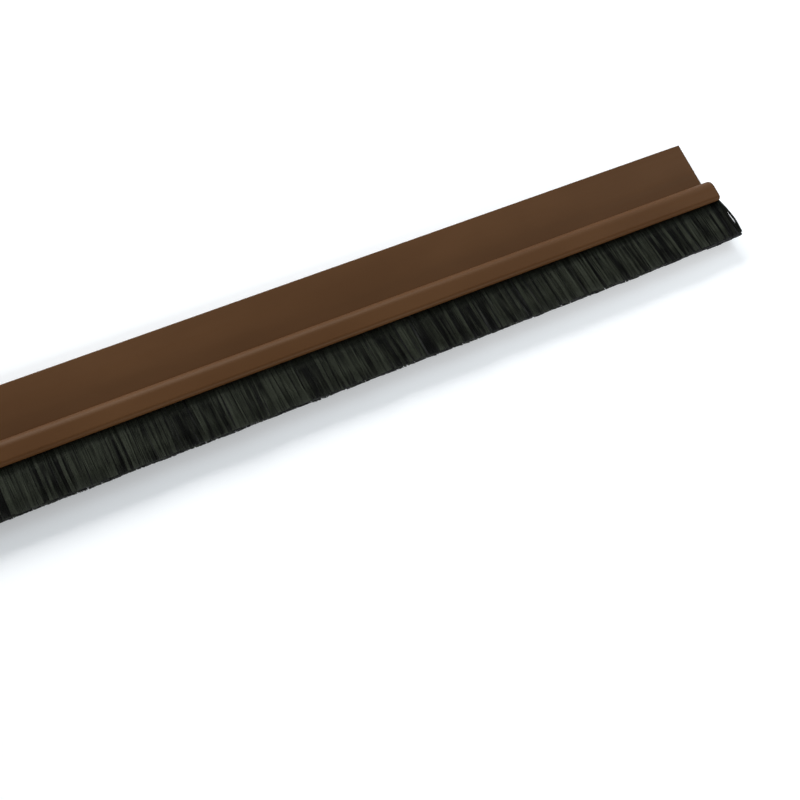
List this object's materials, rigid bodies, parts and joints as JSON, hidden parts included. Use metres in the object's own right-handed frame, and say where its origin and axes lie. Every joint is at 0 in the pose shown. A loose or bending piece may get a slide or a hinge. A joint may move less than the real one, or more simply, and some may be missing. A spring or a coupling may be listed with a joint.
{
  "type": "door bottom brush",
  "caption": "Stick-on strip for the foot of a door: a flat flange with foam tape behind it and a raised channel that holds a row of bristles.",
  "frame": {"origin": "middle of the release liner's outer face: half way along the strip, on the flange's centreline", "axes": "+X along the strip, +Y up the door (the bristles point to -Y), +Z out from the door; the strip lies on its back, as before it is fixed"},
  "size_m": [1.0017, 0.0372, 0.0065],
  "materials": {
    "profile_plastic": "brown, satin, extruded",
    "bristle_fibre": "near-black filaments, slight sheen",
    "backing_plastic": "black, matte, extruded",
    "tape_foam": "white closed-cell foam",
    "liner_film": "pale coated release film, satin"
  },
  "bodies": {
    "root": {"carrier_profile": "profile_plastic", "bristles": "bristle_fibre", "brush_backing": "backing_plastic", "adhesive_tape": "tape_foam", "release_liner": "liner_film"}
  },
  "joints": []
}
